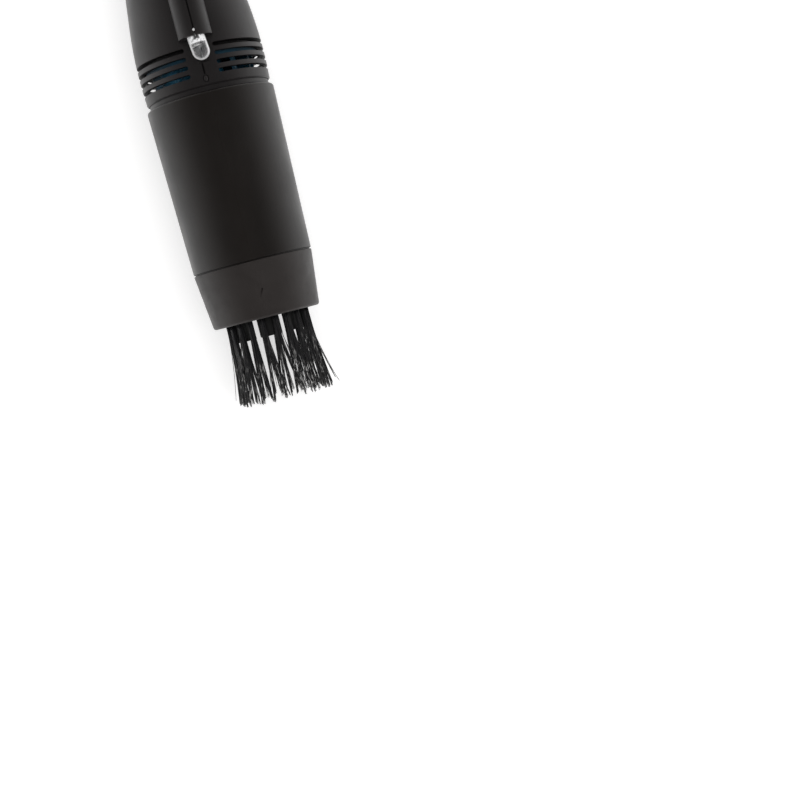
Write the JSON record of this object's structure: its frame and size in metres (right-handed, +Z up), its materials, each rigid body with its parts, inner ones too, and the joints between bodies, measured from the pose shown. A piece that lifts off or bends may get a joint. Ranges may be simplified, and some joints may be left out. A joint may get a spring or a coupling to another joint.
{
  "type": "keyboard vacuum cleaner",
  "caption": "Hand-held corded mini vacuum for keyboards: tapered clamshell body with vents, LED lamp and slide switch, pull-off dust cup with filter, and a round tufted brush head.",
  "frame": {"origin": "bottom centre of the bounding box: the lowest point of the dust cup's rim is at z = 0, with the tool's axis level", "axes": "+X along the tool's axis toward the brush, +Z up through the spine and the lamp, +Y to the tool's left"},
  "size_m": [0.1862, 0.0374, 0.0427],
  "materials": {
    "housing_black": "satin warm black moulded ABS",
    "cup_black": "satin warm black moulded ABS",
    "slider_black": "fine-grained black ABS",
    "holder_black": "black nylon",
    "bristle_black": "black nylon filament",
    "frame_black": "plain black plastic",
    "cap_soft": "matte dark grey soft plastic",
    "gland_rubber": "matte black rubber",
    "fan_blue": "dark blue moulded plastic",
    "led_clear": "water-clear epoxy",
    "screw_steel": "zinc-plated steel",
    "switch_steel": "tinned sheet steel",
    "tinned_lead": "tinned metal",
    "motor_steel": "drawn steel",
    "shaft_steel": "ground steel",
    "sintered_bronze": "sintered bronze",
    "copper": "enamelled copper",
    "ferrite": "sintered ferrite",
    "motor_nylon": "natural nylon",
    "insulator_brown": "brown phenolic",
    "resistor_enamel": "beige enamel",
    "capacitor_ceramic": "orange dipped ceramic",
    "wire_red": "red insulation",
    "wire_black": "black insulation",
    "filter_white": "white non-woven cloth"
  },
  "bodies": {
    "housing": {"housing_left": "housing_black", "housing_right": "housing_black", "housing_screws": "screw_steel", "cord_gland": "gland_rubber", "led_lens": "led_clear", "led_leads": "tinned_lead", "led_resistor": "resistor_enamel", "switch_frame": "switch_steel", "switch_body": "insulator_brown", "switch_pins": "tinned_lead", "motor_can": "motor_steel", "motor_end_cap": "motor_nylon", "motor_bushes": "sintered_bronze", "motor_magnets": "ferrite", "motor_brushes": "sintered_bronze", "motor_terminals": "tinned_lead", "suppression_capacitor": "capacitor_ceramic", "inlet_plate": "frame_black", "led_live_wire": "wire_red", "led_return_wire": "wire_black", "motor_live_wire": "wire_red"},
    "rotor": {"motor_shaft": "shaft_steel", "armature_core": "motor_steel", "armature_windings": "copper", "commutator": "copper", "fan_wheel": "fan_blue"},
    "switch": {"switch_slider": "slider_black", "switch_stem": "insulator_brown"},
    "filter": {"filter_frame": "frame_black", "filter_cloth": "filter_white"},
    "cup": {"dust_cup": "cup_black"},
    "brush": {"brush_cap": "cap_soft", "tuft_holder": "holder_black", "bristles_1": "bristle_black", "bristles_2": "bristle_black", "bristles_3": "bristle_black", "bristles_4": "bristle_black", "bristles_5": "bristle_black"}
  },
  "joints": [
    {"name": "fan_spin", "type": "hinge", "parent": "housing", "child": "rotor", "pos_m": [0, 0, 0.01875], "axis": [1, 0, 0], "continuous": true},
    {"name": "switch_slide", "type": "slide", "parent": "housing", "child": "switch", "axis": [1, 0, 0], "range_m": [0, 0.003]},
    {"name": "cup_pull", "type": "slide", "parent": "housing", "child": "cup", "axis": [1, 0, 0], "range_m": [0, 0.045]},
    {"name": "brush_pull", "type": "slide", "parent": "cup", "child": "brush", "axis": [1, 0, 0], "range_m": [0, 0.015]},
    {"name": "filter_pull", "type": "slide", "parent": "housing", "child": "filter", "axis": [1, 0, 0], "range_m": [0, 0.018]}
  ],
  "couplings": [
    {"joint": "filter_pull", "follows": "cup_pull", "ratio": 0.4}
  ]
}
